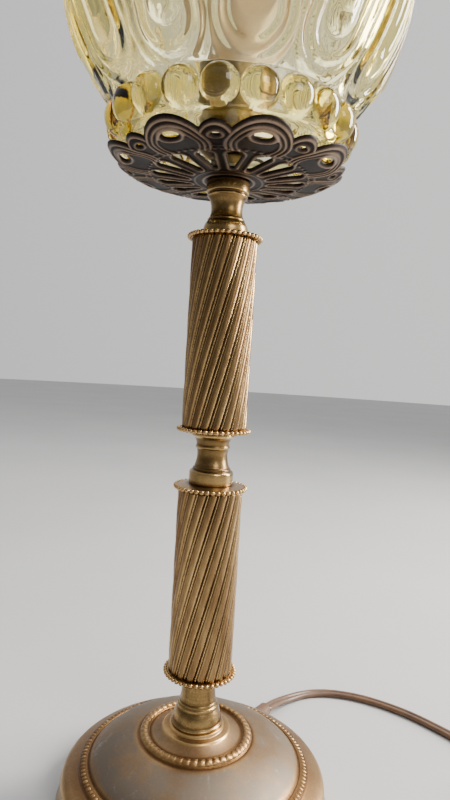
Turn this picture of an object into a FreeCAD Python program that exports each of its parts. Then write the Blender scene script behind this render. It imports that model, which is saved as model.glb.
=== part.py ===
"""Table lamp: brass base and stem, pierced gallery, pressed-glass shade, bulb, cord and switch.

Millimetres, +Z up. The origin is on the lamp's axis, at the underside of the base felt.
"""
import FreeCAD, Part
import math
import os

V = FreeCAD.Vector
ORIGIN = V(0, 0, 0)
UP = V(0, 0, 1)
FULL_TURN = 360

# --- driving dimensions -------------------------------------------------------------------

# base
FOOT_R = 72.0
RIM_R = 70.0
RIM_Z = 13.5
FELT_T = 1.6
BOARD_T = 2.0
NECK_SEAT_Z = 42.0
SHELL_T = 1.6
BEAD_RING_R = 58.6
ROPE_RING_R = 27.6
STEP_R = 17.8
EXIT_ANGLE = 58.0
EXIT_Z = 9.0
SIDE_HOLE_R = 4.4
WEIGHT_R = (42.0, 66.0)
WEIGHT_TOP_Z = 14.5
WEIGHT_NOTCH_W = 12.0

# threaded pipe, 1/8 inch lamp thread
PIPE_R = 5.15
PIPE_BORE_R = 3.6
PIPE_Z = (32.0, 341.5)
BORE_ON_PIPE_R = 5.2
NECK_BORE_R = 5.6
NUT_ACROSS_FLATS = 14.3
NUT_T = 3.9
WASHER_T = 1.2

# columns: heights of the four bead rows, from the base up
BEAD_Z = (70.3, 169.4, 199.6, 298.7)
COLUMN_R = 17.0
COLUMN_BORE_R = 15.2
BEAD_ROW_R = 18.35
BEAD_R = 1.25
CAP_FACE_R = 11.6
CAP_RISE = 1.7
CAP_EDGE = 0.9

# gallery
HUB_Z = 327.0
DISH_T = 2.8
HUB_R = 18.0
DISH_R = 49.0
DISH_RISE = 3.3
TIP_R = 62.0
TIP_Z = 339.4
PETALS = 8
SLOTS = 16
PETAL_TURN = 15.0
LOBE_TURN = -7.5
SLOT_TURN = 3.75
PETAL_R = 15.0
LOBE_R = 8.0
LOBE_TIP_R = 58.5
SLOT_NEAR = (21.5, 1.2)
SLOT_FAR = (35.0, 3.9)
PETAL_EYE = (53.2, 2.6)
LOBE_EYE = (52.4, 1.5)

# glass shade
GLASS_R = 88.0
GLASS_CENTRE_Z = 420.0
GLASS_T = 3.4
GLASS_FOOT_Z = 333.5
GLASS_TOP_Z = 490.0

# socket and bulb, E26
SOCKET_R = 16.5
SOCKET_TOP_Z = 378.0
SOCKET_CAP_R = 17.2
SOCKET_CAP_TOP_Z = 352.5
SOCKET_SHELL_LOW_Z = 349.5
SOCKET_SHELL_T = 0.5
BODY_R = 14.8
BODY_Z = (346.5, 354.0)
SET_SCREW_R = 1.4
TERMINAL_R = 1.5
TERMINAL_Z = 350.4
TERMINAL_X = 11.5
THREAD_SHELL_R = 13.3
BULB_THREAD_R = 12.95
BULB_R = 30.0
BULB_CENTRE_Z = 434.0
BULB_GLASS_T = 0.8
BULB_NECK_R = 12.3
BULB_GLASS_LOW_Z = 376.0
BULB_CAP_TOP_Z = 384.2
STEM_TOP_Z = 415.0
FILAMENT_Z = 434.3
FILAMENT_HALF = 11.4
TIP_CONTACT_Z = 356.2

# flat twin cord
CORD_W = 6.8
CORD_T = 3.4
CORD_FIT = 0.1
ARC_SHARE = 0.45
LEAD_BEND_R = 19.0
LEAD_END_GAP = 0.4
BUSHING_R = (64.5, 84.0)
BUSHING_COLLAR = (66.2, 68.0)
BUSHING_FLANGE = (71.7, 73.3)
BUSHING_NECK_R = SIDE_HOLE_R - 0.1
BUSHING_COLLAR_R = 5.2
BUSHING_FLANGE_R = 5.6

# in-line switch, on the cord
SWITCH_LENGTH = 44.0
SWITCH_WIDTH = 19.0
SWITCH_HEIGHT = 17.0
SWITCH_SPLIT_Z = 7.7
SWITCH_CORD_Z = 6.0
WHEEL_R = 9.0
WHEEL_T = 4.1
WHEEL_OFFSET = -3.0
WHEEL_PIN_R = 1.2
WHEEL_Z = 8.2
SWITCH_SCREW_AT = (17.0, 6.4)
SWITCH_SCREW_R = 1.4
SWITCH_SCREW_HEAD_R = 2.6
SWITCH_SCREW_SINK = 1.8

# put-away coil
COIL_CENTRE = (215.5, -61.2)
COIL_INNER_R = 32.4
COIL_OUTER_R = 46.0
COIL_Z = (0.6, 11.1)
TIE_T = 0.6
TIE_W = 4.0
TIE_ANGLE = 240.0

# plug
PLUG_LENGTH = 30.0
PLUG_WIDTH = 24.0
PLUG_HEIGHT = 16.0
PLUG_CORD_DEPTH = 5.0
BLADE_SPACING = 12.7
BLADE_T = 1.5
BLADE_W = 6.35
BLADE_LENGTH = 17.0

# cord route: from the bushing, along the table, through the switch and into the coil
CORD_ROUTE = [
    (44.5, 71.2, 9.0),
    (53.0, 85.2, 5.8),
    (64.0, 98.0, 2.3),
    (77.5, 106.3, 1.7),
    (93.0, 109.3, 1.7),
    (112.0, 106.3, 1.7),
    (131.0, 97.3, 1.7),
    (148.0, 84.6, 1.7),
    (162.0, 69.5, 1.7),
    (175.5, 52.8, 2.0),
    (193.5, 31.4, 6.0),
    (228.2, -10.0, 6.0),
    (248.1, -33.8, 2.35),
]

# from the coil's top layer to the plug
TAIL_ROUTE = [
    (236.8, -24.3, 9.35),
    (250.7, -32.3, 9.5),
    (262.8, -42.5, 9.1),
    (270.5, -55.5, 8.4),
    (274.8, -70.0, 8.0),
]


# --- outlines and simple solids -----------------------------------------------------------

def outline(start, *steps):
    """Closed face in the XZ plane. A step is a point (r, z), or (middle, end) for an arc."""
    edges = []
    here = start
    closing = () if steps[-1][-1] == start else (start,)
    for step in steps + closing:
        if isinstance(step[0], tuple):
            middle, end = step
            edges.append(Part.Arc(V(here[0], 0, here[1]), V(middle[0], 0, middle[1]),
                                  V(end[0], 0, end[1])).toShape())
        else:
            end = step
            edges.append(Part.LineSegment(V(here[0], 0, here[1]), V(end[0], 0, end[1])).toShape())
        here = end
    return Part.Face(Part.Wire(edges))


def spun(start, *steps):
    """Solid of revolution about the lamp's axis."""
    return outline(start, *steps).revolve(ORIGIN, UP, FULL_TURN)


def ring(inner_r, outer_r, low_z, high_z):
    return spun((inner_r, low_z), (outer_r, low_z), (outer_r, high_z), (inner_r, high_z))


def rod(radius, start, direction, length):
    return Part.makeCylinder(radius, length, start, direction)


def hex_nut(low_z):
    corner_r = NUT_ACROSS_FLATS / 2 / math.cos(math.radians(30))
    corners = [polar(corner_r, 60 * k, low_z) for k in range(7)]
    prism = Part.Face(Part.makePolygon(corners)).extrude(V(0, 0, NUT_T))
    return prism.cut(rod(BORE_ON_PIPE_R, V(0, 0, low_z), UP, NUT_T))


def polar(radius, degrees, z=0.0):
    angle = math.radians(degrees)
    return V(radius * math.cos(angle), radius * math.sin(angle), z)


def turned(shape, degrees):
    copy = shape.copy()
    copy.rotate(ORIGIN, UP, degrees)
    return copy


def spaced_round(shape, count, first_turn):
    """Copies of a shape spaced evenly around the axis."""
    return [turned(shape, first_turn + FULL_TURN / count * k) for k in range(count)]


def save(node, shape):
    shape.exportStep(f"parts/{node}.step")


# --- base ---------------------------------------------------------------------------------

def base_shell():
    outer = spun(
        (0, FELT_T), (FOOT_R, FELT_T), ((RIM_R + 0.6, 7.0), (RIM_R, RIM_Z)),
        ((68.8, 16.6), (65.5, 18.8)), (BEAD_RING_R + 2.3, 20.9),
        ((BEAD_RING_R, 23.2), (BEAD_RING_R - 2.3, 22.7)),
        ((45.8, 30.6), (ROPE_RING_R + 2.2, 35.6)),
        ((ROPE_RING_R, 38.2), (ROPE_RING_R - 2.3, 36.3)),
        (STEP_R + 0.4, 39.3), (STEP_R, 40.1), (14.6, 40.4), (14.4, NECK_SEAT_Z), (0, NECK_SEAT_Z))
    inner = spun(
        (0, 0), (FOOT_R - SHELL_T, 0), (FOOT_R - SHELL_T, FELT_T),
        ((RIM_R - 1.0, 7.0), (RIM_R - SHELL_T, RIM_Z)),
        ((67.4, 15.6), (64.7, 17.3)), (57.6, 19.8),
        ((45.0, 29.0), (ROPE_RING_R + 2.0, 34.0)), (ROPE_RING_R - 2.3, 34.7),
        (STEP_R - 1.0, 38.2), (13.2, 38.7), (13.0, NECK_SEAT_Z - SHELL_T),
        (0, NECK_SEAT_Z - SHELL_T))
    pipe_hole = rod(BORE_ON_PIPE_R, ORIGIN, UP, NECK_SEAT_Z + 1)
    side_hole = rod(SIDE_HOLE_R, V(0, 0, EXIT_Z), polar(1, EXIT_ANGLE), FOOT_R + 5)
    return outer.cut(inner).cut(pipe_hole).cut(side_hole)


def base_weight():
    """Iron ring on the board, with a notch through it for the cord."""
    low = FELT_T + BOARD_T
    inner_r, outer_r = WEIGHT_R
    iron = ring(inner_r, outer_r, low, WEIGHT_TOP_Z)
    notch = Part.makeBox(outer_r, WEIGHT_NOTCH_W, EXIT_Z - low + SIDE_HOLE_R,
                         V(0, -WEIGHT_NOTCH_W / 2, low))
    return iron.cut(turned(notch, EXIT_ANGLE))


def base_board():
    return ring(3, 68.8, FELT_T, FELT_T + BOARD_T)


def base_felt():
    return spun((0, 0), (FOOT_R - 0.4, 0), (FOOT_R - 0.4, FELT_T), (0, FELT_T))


def base_washer():
    top = NECK_SEAT_Z - SHELL_T
    return ring(BORE_ON_PIPE_R, 12, top - WASHER_T, top)


def base_nut():
    return hex_nut(NECK_SEAT_Z - SHELL_T - WASHER_T - NUT_T)


def cord_bushing():
    """Grommet with a tapered tail: made along +X, then turned to the exit."""
    start, end = BUSHING_R
    collar_in, collar_out = BUSHING_COLLAR
    flange_in, flange_out = BUSHING_FLANGE
    profile = outline(
        (start, 0), (start, BUSHING_NECK_R), (collar_in, BUSHING_NECK_R),
        (collar_in, BUSHING_COLLAR_R), (collar_out, BUSHING_COLLAR_R),
        (collar_out, BUSHING_NECK_R), (flange_in, BUSHING_NECK_R),
        (flange_in, BUSHING_FLANGE_R), (flange_out, BUSHING_FLANGE_R),
        ((flange_out + 0.5, 5.15), (flange_out + 1.4, 4.9)), (end, 4.1), (end, 0))
    grommet = profile.revolve(ORIGIN, V(1, 0, 0), FULL_TURN)
    grommet.translate(V(0, 0, EXIT_Z))
    bore = flat_section(V(start, 0, EXIT_Z), V(0, 1, 0), UP, CORD_FIT).extrude(V(end - start, 0, 0))
    return turned(grommet.cut(bore), EXIT_ANGLE)


# --- stem ---------------------------------------------------------------------------------

def threaded_pipe():
    return ring(PIPE_BORE_R, PIPE_R, *PIPE_Z)


def column_cap(bead_z, outward):
    """Beaded cap: outward is +1 at a column's head and -1 at its foot."""
    def point(radius, height):
        return (radius, bead_z + outward * height)
    spigot_r = COLUMN_BORE_R - 0.2
    return spun(
        point(BORE_ON_PIPE_R, CAP_RISE), point(CAP_FACE_R, CAP_RISE), point(BEAD_ROW_R - 0.9, 0.7),
        (point(BEAD_ROW_R + BEAD_R, 0), point(BEAD_ROW_R - 0.9, -CAP_EDGE)),
        point(spigot_r, -CAP_EDGE), point(spigot_r, -4.0), point(spigot_r - 1.2, -4.0),
        point(spigot_r - 1.2, -0.3), point(BORE_ON_PIPE_R, -0.3))


def column(foot_bead_z, head_bead_z):
    return ring(COLUMN_BORE_R, COLUMN_R, foot_bead_z + CAP_EDGE, head_bead_z - CAP_EDGE)


def lower_neck():
    low = NECK_SEAT_Z
    high = BEAD_Z[0] - CAP_RISE
    return spun(
        (NECK_BORE_R, low), (13.8, low), (13.8, low + 1.4), (12.9, low + 2.2),
        ((12.3, low + 6.0), (10.9, low + 9.4)), (10.9, low + 10.6), (10.1, low + 11.2),
        (10.1, low + 12.2), (9.6, low + 12.8), (8.7, high - 3.4), (9.4, high - 2.8),
        (9.4, high), (NECK_BORE_R, high))


def middle_neck():
    low = BEAD_Z[1] + CAP_RISE
    high = BEAD_Z[2] - CAP_RISE
    return spun(
        (NECK_BORE_R, low), (11.6, low), (11.6, low + 5.4), ((11.2, low + 6.8), (10.0, low + 7.4)),
        (10.0, low + 8.4), (9.3, low + 8.9), ((8.0, low + 14.0), (8.4, low + 18.6)),
        (9.0, low + 19.1), (9.0, low + 20.0), (8.6, low + 20.5),
        ((9.3, low + 23.4), (11.2, high - 1.6)), (11.2, high), (NECK_BORE_R, high))


def upper_neck():
    low = BEAD_Z[3] + CAP_RISE
    high = HUB_Z
    return spun(
        (NECK_BORE_R, low), (11.6, low), (11.6, low + 1.2), ((11.2, low + 4.2), (9.7, low + 6.6)),
        (9.7, low + 7.6), (8.9, low + 8.2), ((8.1, low + 12.6), (8.9, low + 17.0)),
        (10.4, high - 7.4), (10.4, high - 6.8), (10.0, high - 6.4), (10.0, high - 5.9),
        (11.1, high - 5.4), (11.1, high), (NECK_BORE_R, high))


# --- gallery ------------------------------------------------------------------------------

def tapered_slot(near, far):
    """Round-ended slot along +X that widens outwards. Each end is (radius, half width)."""
    near_r, near_half = near
    far_r, far_half = far
    tangent = math.acos((near_half - far_half) / (far_r - near_r))
    cos_t = math.cos(tangent)
    sin_t = math.sin(tangent)
    near_high = V(near_r + near_half * cos_t, near_half * sin_t, 0)
    far_high = V(far_r + far_half * cos_t, far_half * sin_t, 0)
    near_low = V(near_high.x, -near_high.y, 0)
    far_low = V(far_high.x, -far_high.y, 0)
    return Part.Face(Part.Wire([
        Part.LineSegment(near_high, far_high).toShape(),
        Part.Arc(far_high, V(far_r + far_half, 0, 0), far_low).toShape(),
        Part.LineSegment(far_low, near_low).toShape(),
        Part.Arc(near_low, V(near_r - near_half, 0, 0), near_high).toShape()]))


def gallery():
    """Pierced dish: petals and lobes around its rim, slots around its hub, an eye in each petal."""
    depth = 20.0
    low = HUB_Z - 2
    top = HUB_Z + DISH_T

    def eye(at_r, radius):
        return rod(radius, V(at_r, 0, low), UP, depth)

    dish = spun(
        (BORE_ON_PIPE_R, HUB_Z), (HUB_R, HUB_Z), (DISH_R + 1, HUB_Z + DISH_RISE),
        ((57.2, 333.0), (TIP_R, TIP_Z - 1.4)), (TIP_R - 0.2, TIP_Z), (TIP_R - 1.8, TIP_Z),
        ((55.9, 335.6), (DISH_R, top + DISH_RISE)), (HUB_R, top), (BORE_ON_PIPE_R, top))
    petal = rod(PETAL_R, V(TIP_R - PETAL_R, 0, low), UP, depth)
    lobe = rod(LOBE_R, V(LOBE_TIP_R - LOBE_R, 0, low), UP, depth)
    plan = rod(DISH_R - 1, V(0, 0, low), UP, depth)
    plan = plan.multiFuse(spaced_round(petal, PETALS, PETAL_TURN)
                          + spaced_round(lobe, PETALS, LOBE_TURN))
    slot = tapered_slot(SLOT_NEAR, SLOT_FAR).extrude(V(0, 0, depth))
    slot.translate(V(0, 0, low))
    holes = spaced_round(slot, SLOTS, SLOT_TURN)
    holes += spaced_round(eye(*PETAL_EYE), PETALS, PETAL_TURN)
    holes += spaced_round(eye(*LOBE_EYE), PETALS, LOBE_TURN)
    return dish.common(plan).cut(holes)


def gallery_washer():
    low = HUB_Z + DISH_T
    return ring(BORE_ON_PIPE_R, 11, low, low + WASHER_T)


def gallery_nut():
    return hex_nut(HUB_Z + DISH_T + WASHER_T)


# --- glass shade --------------------------------------------------------------------------

def sphere_point(radius, z):
    return (math.sqrt(radius ** 2 - (z - GLASS_CENTRE_Z) ** 2), z)


def glass_shade():
    inner_r = GLASS_R - GLASS_T
    foot = GLASS_FOOT_Z
    return spun(
        (45.5, foot), (50.0, foot), ((52.3, 335.2), (53.6, 338.6)), (56.6, 342.0),
        ((63.8, 350.4), (62.6, 358.5)), sphere_point(GLASS_R, 366.5),
        (sphere_point(GLASS_R, 425.0), sphere_point(GLASS_R, 474.5)),
        ((67.6, 481.5), (71.5, GLASS_TOP_Z - 0.8)), ((70.3, GLASS_TOP_Z), (68.4, GLASS_TOP_Z - 1.2)),
        ((64.4, 481.5), sphere_point(inner_r, 472.5)),
        (sphere_point(inner_r, 425.0), sphere_point(inner_r, 368.0)),
        (55.5, 356.0), (51.5, 346.0), (48.0, 340.0), (45.5, 337.0))


# --- socket -------------------------------------------------------------------------------

def nut_top_z():
    return HUB_Z + DISH_T + WASHER_T + NUT_T


def socket_cap():
    low = nut_top_z()
    inner_r = SOCKET_CAP_R - SOCKET_SHELL_T
    cap = spun(
        (BORE_ON_PIPE_R, low), (7.8, low), (7.8, 339.0), ((14.4, 341.6), (SOCKET_CAP_R, 347.6)),
        (SOCKET_CAP_R, SOCKET_CAP_TOP_Z), (inner_r, SOCKET_CAP_TOP_Z), (inner_r, 347.8),
        ((13.9, 342.4), (8.2, 340.0)), (8.2, PIPE_Z[1]), (BORE_ON_PIPE_R, PIPE_Z[1]))
    return cap.cut(rod(SET_SCREW_R, V(0, 0, low + 2.0), V(-1, 0, 0), 12))


def socket_set_screw():
    return rod(SET_SCREW_R, V(-BORE_ON_PIPE_R - 0.1, 0, nut_top_z() + 2.0), V(-1, 0, 0), 4.2)


def socket_body():
    """Porcelain body with a pocket at each terminal and a way for the wires below."""
    low, high = BODY_Z
    pocket_w = 8.0
    pocket = Part.makeBox(6, pocket_w, high - low + 0.2, V(TERMINAL_X - 0.1, -pocket_w / 2, low - 0.1))
    cross_hole = rod(TERMINAL_R, V(-TERMINAL_X, 0, TERMINAL_Z), V(1, 0, 0), 2 * TERMINAL_X)
    wire_way = Part.makeBox(9, 4.4, 3.4, V(-4.5, -2.2, low - 0.1))
    body = spun((0, low), (BODY_R, low), (BODY_R, high), (0, high))
    return body.cut([pocket, turned(pocket, 180), cross_hole, wire_way])


def terminal_screws():
    screws = []
    for side in (-1, 1):
        head = rod(2.8, V(side * TERMINAL_X, 0, TERMINAL_Z), V(side, 0, 0), 1.9)
        shank = rod(TERMINAL_R, V(side * 4.0, 0, TERMINAL_Z), V(side, 0, 0), TERMINAL_X - 3.9)
        screws.append(head.fuse(shank))
    return Part.makeCompound(screws)


def socket_liner():
    return ring(BODY_R + 0.2, BODY_R + 0.8, BODY_Z[1] - 1.0, SOCKET_TOP_Z - 1.5)


def socket_shell():
    low = SOCKET_SHELL_LOW_Z
    inner_r = SOCKET_R - SOCKET_SHELL_T
    bead_r = SOCKET_R + 0.7
    return spun(
        (inner_r, low), (SOCKET_R, low), (SOCKET_R, SOCKET_TOP_Z - 7.0),
        (bead_r, SOCKET_TOP_Z - 6.2), (bead_r, SOCKET_TOP_Z - 5.0), (SOCKET_R, SOCKET_TOP_Z - 4.2),
        (SOCKET_R, SOCKET_TOP_Z), (14.6, SOCKET_TOP_Z + 0.5), (14.6, SOCKET_TOP_Z),
        (inner_r, SOCKET_TOP_Z - 0.6))


def screw_shell():
    low = BODY_Z[1]
    top = SOCKET_TOP_Z - 2.0
    outer_r = THREAD_SHELL_R + 0.5
    return spun(
        (6.5, low), (outer_r, low), (outer_r, top), (THREAD_SHELL_R, top),
        (THREAD_SHELL_R, low + 0.5), (6.5, low + 0.5))


def centre_contact():
    low = BODY_Z[1]
    top = TIP_CONTACT_Z - 0.2
    return spun((0, low), (4.2, low), (4.2, low + 0.6), (2.4, top), (0, top))


# --- bulb ---------------------------------------------------------------------------------

def bulb_contact():
    low = TIP_CONTACT_Z
    return spun((0, low), (2.6, low), (4.5, low + 0.8), (4.5, low + 1.6), (0, low + 1.6))


def bulb_insulator():
    low = TIP_CONTACT_Z + 1.6
    return spun((0, low), (5.2, low), (10.6, low + 4.0), (10.6, low + 4.6), (0, low + 4.6))


def bulb_cap():
    low = TIP_CONTACT_Z + 6.2
    top = BULB_CAP_TOP_Z
    return spun(
        (0, low), (10.8, low), (BULB_THREAD_R, low + 2.4), (BULB_THREAD_R, top),
        (BULB_NECK_R + 0.05, top), (BULB_NECK_R + 0.05, low + 1.4), (0, low + 1.4))


def bulb_point(radius, degrees):
    angle = math.radians(degrees)
    return (radius * math.cos(angle), BULB_CENTRE_Z + radius * math.sin(angle))


def bulb_envelope():
    inner_r = BULB_R - BULB_GLASS_T
    neck_inner = BULB_NECK_R - BULB_GLASS_T
    low = BULB_GLASS_LOW_Z
    return spun(
        (BULB_NECK_R, low), (BULB_NECK_R, BULB_CAP_TOP_Z + 0.2), (13.4, 386.2),
        ((16.6, 401.0), bulb_point(BULB_R, -31)),
        (bulb_point(BULB_R, 25), bulb_point(BULB_R, 90)), bulb_point(inner_r, 90),
        (bulb_point(inner_r, 25), bulb_point(inner_r, -31)),
        ((15.8, 401.2), (12.6, 386.4)), (neck_inner, BULB_CAP_TOP_Z + 0.6), (neck_inner, low))


def bulb_stem():
    """Glass stem, with the ends of the lead wires sealed in its top."""
    low = BULB_GLASS_LOW_Z + 1.0
    foot_r = BULB_NECK_R - BULB_GLASS_T - 0.3
    top = STEM_TOP_Z
    stem = spun(
        (0, low), (foot_r, low), (foot_r, low + 1.0), (6.0, low + 3.5), (4.0, low + 9.0),
        (3.0, top - 5.0), (4.0, top - 3.0), (4.0, top - 1.4), (2.6, top), (0, top))
    return stem.cut(filament())


def filament():
    """Two lead wires and the coiled filament between them."""
    wires = []
    for side in (-1, 1):
        start = V(side * 1.5, 0, STEM_TOP_Z - 2.0)
        end = V(side * (FILAMENT_HALF - 0.4), 0, FILAMENT_Z - 0.3)
        wires.append(rod(0.4, start, end - start, (end - start).Length))
    wires.append(rod(0.8, V(-FILAMENT_HALF, 0, FILAMENT_Z), V(1, 0, 0), 2 * FILAMENT_HALF))
    return wires[0].multiFuse(wires[1:])


# --- cord ---------------------------------------------------------------------------------

def flat_section(centre, across, through, grow=0.0):
    """The flat cord's section: a stadium, its width along across, its thickness along through."""
    half_t = CORD_T / 2 + grow
    half_flat = (CORD_W - CORD_T) / 2
    left = centre - across * half_flat
    right = centre + across * half_flat
    rise = through * half_t
    side = across * half_t
    return Part.Face(Part.Wire([
        Part.LineSegment(left - rise, right - rise).toShape(),
        Part.Arc(right - rise, right + side, right + rise).toShape(),
        Part.LineSegment(right + rise, left + rise).toShape(),
        Part.Arc(left + rise, left - side, left - rise).toShape()]))


def cord_path(name, route):
    """Straight runs joined by tangent arcs, and a print of the arcs' radii."""
    points = [V(*point) for point in route]
    edges = []
    radii = []
    here = points[0]
    for before, corner, after in zip(points, points[1:], points[2:]):
        back = (before - corner).normalize()
        on = (after - corner).normalize()
        half_turn = (math.pi - back.getAngle(on)) / 2
        reach = ARC_SHARE * min((before - corner).Length, (after - corner).Length)
        radius = reach / math.tan(half_turn)
        centre_way = (back + on).normalize()
        middle = corner + centre_way * (radius / math.cos(half_turn) - radius)
        start = corner + back * reach
        end = corner + on * reach
        edges.append(Part.LineSegment(here, start).toShape())
        edges.append(Part.Arc(start, middle, end).toShape())
        radii.append(radius)
        here = end
    edges.append(Part.LineSegment(here, points[-1]).toShape())
    path = Part.Wire(edges)
    print(f"{name}: length {path.Length:.0f} mm, radii", " ".join(f"{r:.0f}" for r in radii))
    return path


def flat_cord(name, route):
    """Sweep of the flat section along a route, its width kept level."""
    path = cord_path(name, route)
    start = V(*route[0])
    along = (V(*route[1]) - start).normalize()
    across = UP.cross(along).normalize()
    section = flat_section(start, across, along.cross(across)).OuterWire
    sweep = Part.BRepOffsetAPI.MakePipeShell(path)
    sweep.setBiNormalMode(UP)
    sweep.add(section)
    sweep.build()
    sweep.makeSolid()
    solid = sweep.shape()
    section_area = CORD_T * (CORD_W - CORD_T) + math.pi * CORD_T ** 2 / 4
    print(f"{name}: volume against section times length {solid.Volume / section_area / path.Length:.3f}")
    return solid


def lamp_lead():
    """The cord's hidden stretch: from the socket down the pipe, and out through the bushing."""
    away = polar(1, EXIT_ANGLE)
    across = UP.cross(away)
    top = V(0, 0, 345.0)
    bend_top = V(0, 0, EXIT_Z + LEAD_BEND_R)
    lean = LEAD_BEND_R * (1 - math.sqrt(0.5))
    bend_middle = away * lean + V(0, 0, EXIT_Z + lean)
    bend_end = away * LEAD_BEND_R + V(0, 0, EXIT_Z)
    end = away * (BUSHING_R[1] - LEAD_END_GAP) + V(0, 0, EXIT_Z)
    path = Part.Wire([
        Part.LineSegment(top, bend_top).toShape(),
        Part.Arc(bend_top, bend_middle, bend_end).toShape(),
        Part.LineSegment(bend_end, end).toShape()])
    section = flat_section(top, across, away).OuterWire
    return path.makePipeShell([section], True, False)


def coil_centre(z=0.0):
    return V(COIL_CENTRE[0], COIL_CENTRE[1], z)


def cord_coil():
    """Outer shape of the put-away coil, a ring with round edges."""
    low, high = COIL_Z
    inner, outer = COIL_INNER_R, COIL_OUTER_R
    edge = CORD_T / 2
    corner = edge * (1 - math.sqrt(0.5))
    coil = spun(
        (inner + edge, low), (outer - edge, low),
        ((outer - corner, low + corner), (outer, low + edge)), (outer, high - edge),
        ((outer - corner, high - corner), (outer - edge, high)), (inner + edge, high),
        ((inner + corner, high - corner), (inner, high - edge)), (inner, low + edge),
        ((inner + corner, low + corner), (inner + edge, low)))
    coil.translate(coil_centre())
    return coil


def coil_tie():
    """Flat band around the coil's section."""
    length = COIL_OUTER_R - COIL_INNER_R + 0.8
    height = COIL_Z[1] - COIL_Z[0] + 0.1
    near = COIL_INNER_R - 0.4
    outer = Part.makeBox(length + 2 * TIE_T, TIE_W, height + 2 * TIE_T, V(near - TIE_T, -TIE_W / 2, 0))
    inner = Part.makeBox(length, TIE_W, height, V(near, -TIE_W / 2, TIE_T))
    band = turned(outer.cut(inner), TIE_ANGLE)
    band.translate(coil_centre())
    return band


# --- in-line switch -----------------------------------------------------------------------

def switch_place(shape):
    """From the switch's own frame, cord along +X at its middle, to its place on the cord."""
    start = V(*CORD_ROUTE[-3])
    end = V(*CORD_ROUTE[-2])
    centre = (start + end) * 0.5
    along = end - start
    placed = turned(shape, math.degrees(math.atan2(along.y, along.x)))
    placed.translate(V(centre.x, centre.y, 0))
    return placed


def rounded_block(length, width, low_z, high_z, corner):
    block = Part.makeBox(length, width, high_z - low_z, V(-length / 2, -width / 2, low_z))
    uprights = [edge for edge in block.Edges if abs(edge.tangentAt(edge.FirstParameter).z) > 0.9]
    return block.makeFillet(corner, uprights)


def switch_screw_places():
    along, across = SWITCH_SCREW_AT
    return [V(side * along, side * across, 0) for side in (-1, 1)]


def switch_pocket():
    """Room for the thumb wheel, open at the switch's side."""
    return rod(WHEEL_R + 0.5, V(0, WHEEL_OFFSET, SWITCH_SPLIT_Z), UP, 5.1)


def contact_blocks(grow):
    size = 4.0 + 2 * grow
    depth = 1.6 + 2 * grow
    return [Part.makeBox(size, depth, 2.6, V(side * 7 - size / 2, 4.4 - grow, SWITCH_SPLIT_Z - 2.6))
            for side in (-1, 1)]


def switch_lower_half():
    half = rounded_block(SWITCH_LENGTH, SWITCH_WIDTH, 0, SWITCH_SPLIT_Z, 6.0)
    groove_w = CORD_W + 0.6
    groove = Part.makeBox(SWITCH_LENGTH, groove_w, CORD_T + 0.3,
                          V(-SWITCH_LENGTH / 2, -groove_w / 2, SWITCH_CORD_Z - CORD_T / 2 - 0.3))
    cuts = [groove] + contact_blocks(0.05)
    cuts += [rod(SWITCH_SCREW_R + 0.05, place, UP, SWITCH_SPLIT_Z) for place in switch_screw_places()]
    return switch_place(half.cut(cuts))


def switch_upper_half():
    half = rounded_block(SWITCH_LENGTH, SWITCH_WIDTH, SWITCH_SPLIT_Z, SWITCH_HEIGHT, 6.0)
    top_edges = [edge for edge in half.Edges if edge.BoundBox.ZMin > SWITCH_HEIGHT - 0.01]
    half = half.makeFillet(1.6, top_edges)
    cuts = [switch_pocket(), rod(WHEEL_PIN_R, V(0, WHEEL_OFFSET, SWITCH_SPLIT_Z), UP, 7.0)]
    for place in switch_screw_places():
        cuts.append(rod(SWITCH_SCREW_R + 0.05, place, UP, SWITCH_HEIGHT + 1))
        head_place = place + V(0, 0, SWITCH_HEIGHT - SWITCH_SCREW_SINK)
        cuts.append(rod(SWITCH_SCREW_HEAD_R + 0.1, head_place, UP, SWITCH_SCREW_SINK + 1))
    return switch_place(half.cut(cuts))


def switch_wheel():
    wheel = rod(WHEEL_R, V(0, WHEEL_OFFSET, WHEEL_Z), UP, WHEEL_T)
    return switch_place(wheel.cut(rod(WHEEL_PIN_R + 0.05, V(0, WHEEL_OFFSET, 0), UP, 20)))


def switch_pin():
    return switch_place(rod(WHEEL_PIN_R, V(0, WHEEL_OFFSET, SWITCH_SPLIT_Z), UP, 7.0))


def switch_contacts():
    return switch_place(Part.makeCompound(contact_blocks(0.0)))


def switch_screws():
    screws = []
    for place in switch_screw_places():
        head_z = SWITCH_HEIGHT - SWITCH_SCREW_SINK
        shank = rod(SWITCH_SCREW_R, place + V(0, 0, 1.5), UP, head_z - 1.5)
        head = rod(SWITCH_SCREW_HEAD_R, place + V(0, 0, head_z), UP, SWITCH_SCREW_SINK - 0.3)
        screws.append(shank.fuse(head))
    return switch_place(Part.makeCompound(screws))


# --- plug ---------------------------------------------------------------------------------

def plug_place(shape):
    """From the plug's own frame, rear face at the origin and blades along +X, to the tail's end."""
    end = V(*TAIL_ROUTE[-1])
    along = end - V(*TAIL_ROUTE[-2])
    along.z = 0
    along.normalize()
    placed = turned(shape, math.degrees(math.atan2(along.y, along.x)))
    rear = end - along * PLUG_CORD_DEPTH
    placed.translate(V(rear.x, rear.y, 0))
    return placed


def plug_blade_boxes():
    start = PLUG_LENGTH - 6.0
    low = (PLUG_HEIGHT - BLADE_W) / 2
    return [Part.makeBox(6.0 + BLADE_LENGTH, BLADE_T, BLADE_W,
                         V(start, side * BLADE_SPACING / 2 - BLADE_T / 2, low)) for side in (-1, 1)]


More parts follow.
